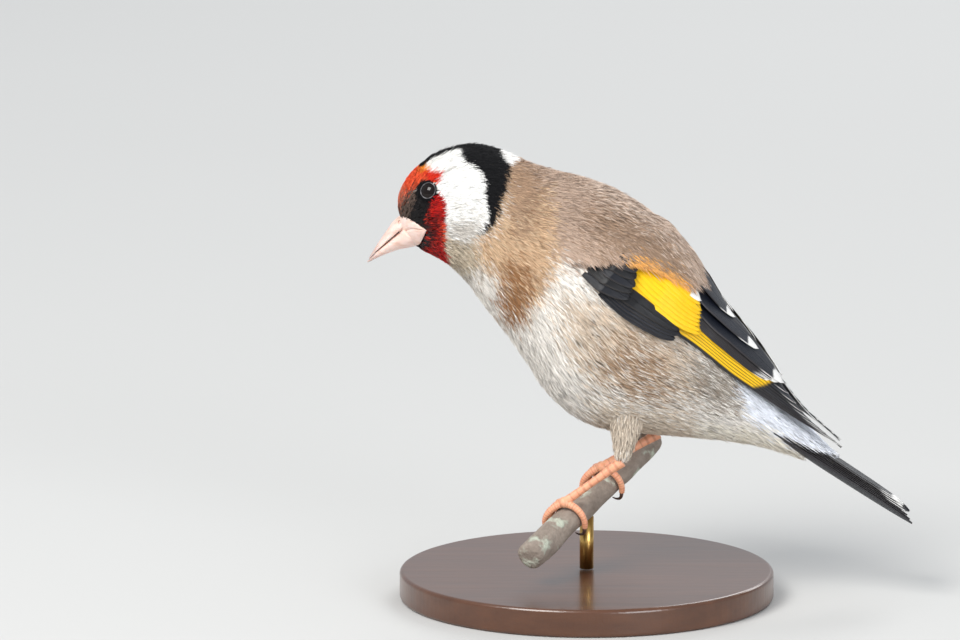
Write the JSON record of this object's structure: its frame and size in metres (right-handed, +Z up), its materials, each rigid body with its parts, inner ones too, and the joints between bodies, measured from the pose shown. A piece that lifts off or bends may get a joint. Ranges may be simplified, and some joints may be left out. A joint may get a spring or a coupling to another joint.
{
  "type": "goldfinch",
  "caption": "European goldfinch at life size, perched on a cut length of branch held by a rod on a round wooden base.",
  "frame": {"origin": "centre of the underside of the round base, on the floor", "axes": "+Z up, -X the way the bird looks, -Y towards the bird's left side"},
  "size_m": [0.1162, 0.08, 0.0984],
  "materials": {
    "head_plumage": "soft feather",
    "body_plumage": "soft feather",
    "rump_plumage": "soft feather",
    "thigh_plumage": "soft feather",
    "wing_feather": "smooth feather",
    "tail_feather": "smooth feather",
    "bill_horn": "satin",
    "eye": "wet gloss",
    "leg_skin": "satin",
    "claw_horn": "satin",
    "bark": "rough",
    "rod_metal": "satin",
    "base_wood": "satin varnish"
  },
  "bodies": {
    "root": {"head": "head_plumage", "bill_upper": "bill_horn", "bill_lower": "bill_horn", "eye_left": "eye", "eye_right": "eye", "neck": "body_plumage", "torso": "body_plumage", "rump": "rump_plumage", "wing_left": "wing_feather", "wing_right": "wing_feather", "tail": "tail_feather", "thigh_left": "thigh_plumage", "thigh_right": "thigh_plumage", "tarsus_left": "leg_skin", "tarsus_right": "leg_skin", "foot_left": "leg_skin", "foot_right": "leg_skin", "claw_left_hind": "claw_horn", "claw_left_inner": "claw_horn", "claw_left_middle": "claw_horn", "claw_left_outer": "claw_horn", "claw_right_hind": "claw_horn", "claw_right_inner": "claw_horn", "claw_right_middle": "claw_horn", "claw_right_outer": "claw_horn", "perch_branch": "bark", "stand_rod": "rod_metal", "stand_base": "base_wood"}
  },
  "joints": []
}
